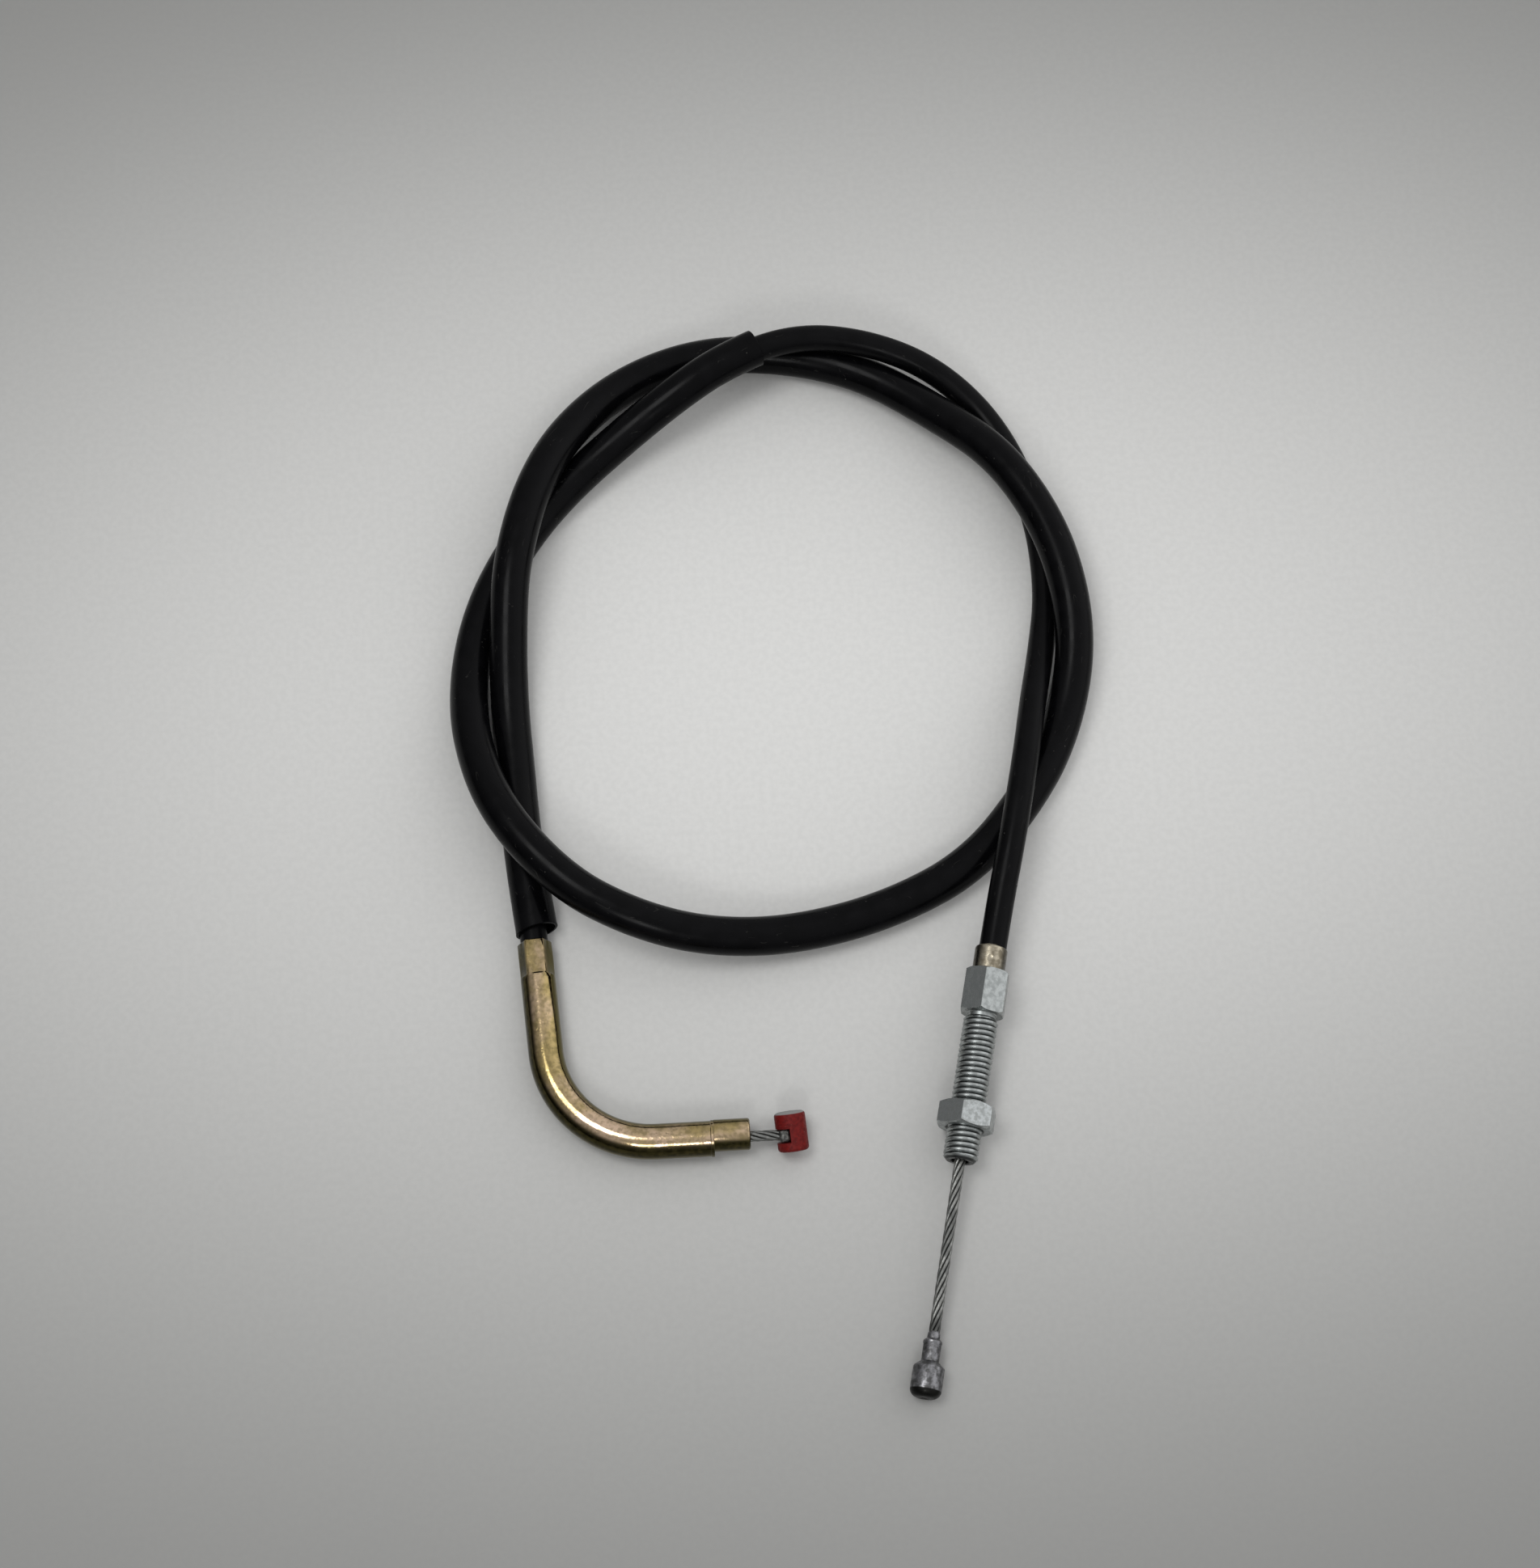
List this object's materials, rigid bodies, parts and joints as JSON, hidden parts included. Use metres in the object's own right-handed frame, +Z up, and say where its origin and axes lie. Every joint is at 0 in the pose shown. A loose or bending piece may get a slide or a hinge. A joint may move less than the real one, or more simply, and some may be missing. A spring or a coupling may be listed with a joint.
{
  "type": "motorcycle control cable",
  "caption": "Coiled Bowden control cable with an elbow pipe and barrel nipple at the lever end and a threaded adjuster with lock nut and soldered nipple at the arm end.",
  "frame": {"origin": "on the table, under the middle of the plan box of the stiff fittings, without the cable", "axes": "+X along the elbow's nozzle, out towards the lever; +Y the way the elbow's upper leg points, within 4 degrees; +Z up from the table"},
  "size_m": [0.1521, 0.266, 0.0188],
  "materials": {
    "chromated_steel": "steel with a yellow chromate, worn",
    "sleeve_plastic": "black plastic tube, satin",
    "conduit_plastic": "black plastic coating, matte",
    "spring_steel": "spiral-wound flat steel wire",
    "liner_plastic": "natural white plastic tube",
    "wire_steel": "galvanised wire rope",
    "red_paint": "dull red paint on brass, worn at one end",
    "solder": "dull grey solder",
    "zinc_steel": "blue-white zinc plate, mottled",
    "dull_steel": "dull plated steel"
  },
  "bodies": {
    "cable": {"elbow_tube": "chromated_steel", "elbow_nozzle": "chromated_steel", "outer_sleeve": "sleeve_plastic", "conduit_jacket": "conduit_plastic", "conduit_armour": "spring_steel", "conduit_liner": "liner_plastic", "inner_wire": "wire_steel", "ferrule_cap": "dull_steel"},
    "lever_end": {"lever_wire": "wire_steel", "lever_barrel": "red_paint", "lever_solder": "solder"},
    "arm_end": {"arm_wire": "wire_steel", "arm_nipple": "zinc_steel"},
    "adjuster": {"adjuster_body": "zinc_steel"},
    "nut": {"lock_nut": "zinc_steel"}
  },
  "joints": [
    {"name": "lever_pull", "type": "slide", "parent": "cable", "child": "lever_end", "axis": [1, 0, 0], "range_m": [-0.004, 0.015]},
    {"name": "arm_pull", "type": "slide", "parent": "cable", "child": "arm_end", "axis": [-0.2161, -0.9747, -0.0565], "range_m": [-0.015, 0.004]},
    {"name": "adjuster_turn", "type": "hinge", "parent": "cable", "child": "adjuster", "pos_m": [0.05211, 0.04628, 0.00925], "axis": [-0.2161, -0.9747, -0.0565], "range_deg": [-1800, 5580]},
    {"name": "nut_travel", "type": "slide", "parent": "cable", "child": "nut", "axis": [-0.2161, -0.9747, -0.0565], "range_m": [-0.0195, 0.0064]}
  ],
  "couplings": [
    {"joint": "arm_pull", "follows": "lever_pull", "ratio": -1},
    {"joint": "nut_travel", "follows": "adjuster_turn", "m_per_rad": -0.00019894}
  ]
}
